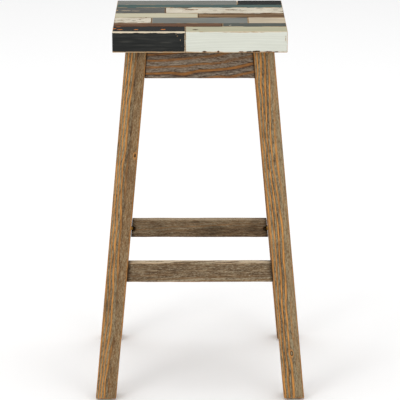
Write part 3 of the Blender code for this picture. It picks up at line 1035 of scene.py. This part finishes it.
def seat_finish(name, middle, thick, cracks):
    """A function that says where a seat board's paint is gone, what shows there, and its painted
    sheen.
    """
    front = name.startswith("seat_front")
    front_left = name == "seat_front_board_left"
    near_seam, far_seam, shows_at_seam = SEAMS.get(name, SEAM)

    def finish(local, size, seed):
        def rough(cell, number):
            return layered(local + seed, cell, seed + number)

        half = size / 2
        above = half[2] - local[:, 2]
        below = half[2] + local[:, 2]
        behind = half[1] + local[:, 1]
        to_sides = half[1] - np.abs(local[:, 1])
        to_ends = half[0] - np.abs(local[:, 0])
        spread = rough((0.022, 0.006, 0.006), 17)
        ragged = 0.1 + 1.8 * smooth(0.25, 0.85, spread)
        seam = np.where(local[:, 1] < 0, near_seam * MM, far_seam * MM)
        beside = np.hypot(to_sides / seam, above / (1.6 * MM)) / ragged
        at_end = np.hypot(to_ends, above) / (1.5 * MM * (0.4 + 1.2 * spread))
        bare = smooth(1.3, 0.3, np.minimum(beside, at_end))
        under = shows_at_seam + 0.3 * (rough((0.03, 0.01, 0.01), 4) - 0.5)

        def wear(there, shows, least):
            nonlocal bare, under
            under = np.where(there > least, shows, under)
            bare = np.maximum(bare, there)

        if thick:
            uneven = rough((0.02, 0.05, 0.05), 23)
            rim = np.hypot(to_sides, below) / (2.5 * MM * (0.5 + 1.1 * uneven))
            wear(smooth(1.4, 0.5, rim), TAN + 0.5 * (uneven - 0.5), bare)
            upright = np.hypot(to_ends, to_sides) / (1.6 * MM * (0.1 + 1.7 * spread))
            on_right = local[:, 0] > 0
            wear(smooth(1.3, 0.4, upright) * (on_right if front_left else 1), 0.6 * TAN, bare)
        if front:
            wide = 3.0 * MM if front_left else 1.2 * MM
            wander = rough((0.012, 0.2, 0.2), 29)
            arris = np.hypot(behind, above) / (wide * (0.5 + wander))
            wear(smooth(1.25, 0.75, arris), CREAM + 0.06, 0.3)
        bare = np.maximum(bare, smooth(0.6 * MM, 0.1 * MM, below))
        x, y, z = (local + middle).T
        on_top = above < FACE_DEPTH
        on_front = behind < FACE_DEPTH
        for face, across, marks in ((on_top, y, TOP_MARKS), (on_front, z, FRONT_MARKS)):
            for number, (first, second, length, width, shows) in enumerate(marks.get(name, [])):
                there = spot(x - first * MM, across - second * MM, length * MM, width * MM,
                             seed + number)
                wear(there * face, shows, 0.2)
        # Painted sheen: faint light streaks on the black front face
        haze = np.zeros(len(local))
        for first, second, length, height, tilt in SHEEN_STREAKS if front_left else ():
            along = x - first * MM
            up = z - second * MM - along * sin(radians(tilt))
            reach = np.hypot(along / (length * MM / 2), up / (height * MM / 2))
            haze = np.maximum(haze, smooth(1.6, 0.0, reach) * on_front)
        if cracks:
            lines = rough((0.020, 0.0028, 0.0028), 41)
            where = rough((0.05, 0.03, 0.03), 43)
            wear(smooth(0.66, 0.74, lines + 0.35 * (where - 0.5)), BROWN, 0.3)
        return {"bare": bare, "under": np.clip(under, 0, 1), "haze": haze}

    return finish


# The boards whose paint isn't their material slot's
SEAT_PAINT = {"seat_rear_board_left": "warm_grey_paint", "seat_edge_left": "grey_paint",
              "seat_edge_right": "dark_grey_paint"}

SINK = 0.125 * MM    # the most that a strip lies below its CAD place


def make_seat(looks, cutters):
    seed = 60
    for item in frame["record"]["subparts"]:
        node = item["node"]
        if not node.startswith("seat_") or "screw" in node or node == "seat_panel":
            continue
        low, high = box_of(node)
        size = high - low
        middle = (low + high) / 2
        thick = "board" in node
        along = 1 if "edge" in node else 0
        own = size[[1, 0, 2]] if along else size
        paint = SEAT_PAINT.get(node, item["material_slot"])
        sink = 0.0 if thick else SINK * hashed(*np.array([[seed], [3], [5]]), 2)[0]
        place = Place(tuple(own), middle - np.array((0, 0, sink)), along=along)
        tree = Tree((20 - seed % 7, -50), (20, 30), 3.4, 10)
        finish = seat_finish(node, middle, thick, paint == "cream_paint")
        wooden(node, place, SEAT_STEPS, (1.1 if thick else 0.7) * MM, tree, looks[paint],
               finish, 0.08 * MM, (), seed)
        seed += 1
    low, high = box_of("seat_panel")
    rooms = [cutters["seat_screw_%s_%s" % corner] for corner in CORNERS]
    wooden("seat_panel", Place(tuple(high - low), (low + high) / 2), PANEL_STEPS, 0.6 * MM,
           Tree((300, -50), (20, 0), 7, 30), looks["raw_wood"],
           frame_finish(1 * MM), 0.12 * MM, rooms, 91)


# ---- small parts

GLIDE_EDGE = 1.5 * MM    # radius of a glide's lower edge


def make_glides(looks):
    for corner in CORNERS:
        node = "glide_%s_%s" % corner
        low, high = box_of(node)
        radius = (high[0] - low[0]) / 2
        top = LEG_LOW[2] - GAP
        tip = top + NAIL_LENGTH
        profile = [(ON_AXIS, tip), (NAIL_RADIUS, tip - 2.4 * MM), (NAIL_RADIUS, top),
                   (radius - 0.6 * MM, top), (radius - 0.15 * MM, top - 0.15 * MM),
                   (radius, top - 0.6 * MM)]
        for turn in range(1, 7):
            angle = turn * pi / 12
            profile.append((radius - GLIDE_EDGE * (1 - cos(angle)), GLIDE_EDGE * (1 - sin(angle))))
        profile += [(radius * 0.55, 0.0), (radius * 0.5, 0.25 * MM), (radius * 0.2, 0.3 * MM),
                    (ON_AXIS, 0.3 * MM)]
        glide = lathe_object(node + "_moulded", profile, 72)
        middle = (low + high) / 2
        glide.data.transform(Matrix.Translation((middle[0], middle[1], 0.0)))
        claim(glide, looks["glide_plastic"], node)


def dress_blocks():
    """The corner blocks keep their CAD shape, with a raw wood of their own."""
    look = Look("block_wood")
    place = look.node("TexCoord").outputs["Object"]
    rings = look.noise(place, (60.0, 60.0, 420.0), 4.0, 0.6, 0.5)
    fibres = look.noise(place, (260.0, 260.0, 2200.0), 3.0)
    tint = look.mix(look.step(rings, 0.38, 0.62), linear(198, 170, 130), linear(168, 132, 92))
    tint = look.shade(tint, look.step(fibres, 0.3, 0.7, 0.82, 1.1))
    wood = look.finish(tint, look.step(fibres, 0.3, 0.7, 0.7, 0.85), fibres, 0.15 * MM)
    for corner in CORNERS:
        block = frame["nodes"]["corner_block_%s_%s" % corner]
        block.data.materials.clear()
        block.data.materials.append(wood)


# ---- stage

CAMERA_AT = (-0.01389, -3.930, 1.5937)
CAMERA_PITCH = 0.30163
CAMERA_YAW = -0.00369
CAMERA_LENS = 178.0


def make_camera():
    data = bpy.data.cameras.new("camera")
    data.lens = CAMERA_LENS
    data.sensor_width = 36.0
    camera = add_object("camera", data)
    camera.location = CAMERA_AT
    camera.rotation_euler = (pi / 2 - CAMERA_PITCH, 0.0, CAMERA_YAW)
    bpy.context.scene.camera = camera


def make_floor():
    corners = 15.0 * np.array([(-1, -1, 0), (1, -1, 0), (1, 1, 0), (-1, 1, 0)])
    mesh = to_mesh("floor", corners, [(0, 1, 2, 3)])
    look = Look("floor")
    look.shader.inputs["Base Color"].default_value = (0.96, 0.96, 0.96, 1.0)
    look.shader.inputs["Roughness"].default_value = 0.9
    look.shader.inputs["Specular IOR Level"].default_value = 0.1
    mesh.materials.append(look.material)
    add_object("floor", mesh)


def add_light(name, at, aim, size, power):
    data = bpy.data.lights.new(name, "AREA")
    data.shape = "RECTANGLE"
    data.size, data.size_y = size
    data.energy = power
    light = add_object(name, data)
    light.location = at
    light.rotation_euler = (Vector(aim) - Vector(at)).to_track_quat("-Z", "Y").to_euler()


def make_light():
    world = bpy.data.worlds.new("studio")
    world.use_nodes = True
    back = world.node_tree.nodes["Background"]
    back.inputs["Color"].default_value = (1.0, 1.0, 1.0, 1.0)
    back.inputs["Strength"].default_value = 0.70
    bpy.context.scene.world = world
    middle = (0.0, 0.0, 0.45)
    add_light("overhead", (0.0, 0.8, 4.2), (0.0, 0.8, 0.0), (7.0, 7.0), 122.0)
    add_light("front_left", (-2.4, -3.0, 2.2), middle, (1.4, 1.4), 30.0)
    add_light("front_right", (2.4, -3.2, 1.4), middle, (1.4, 1.4), 12.0)
    bpy.context.scene.view_settings.view_transform = "Standard"


# ---- all of it

def main():
    make_camera()
    make_floor()
    make_light()
    looks = make_materials()
    cutters = make_screws(looks)
    make_frame(looks, cutters)
    make_seat(looks, cutters)
    make_glides(looks)
    dress_blocks()
    for cutter in cutters.values():
        bpy.data.objects.remove(cutter)


main()
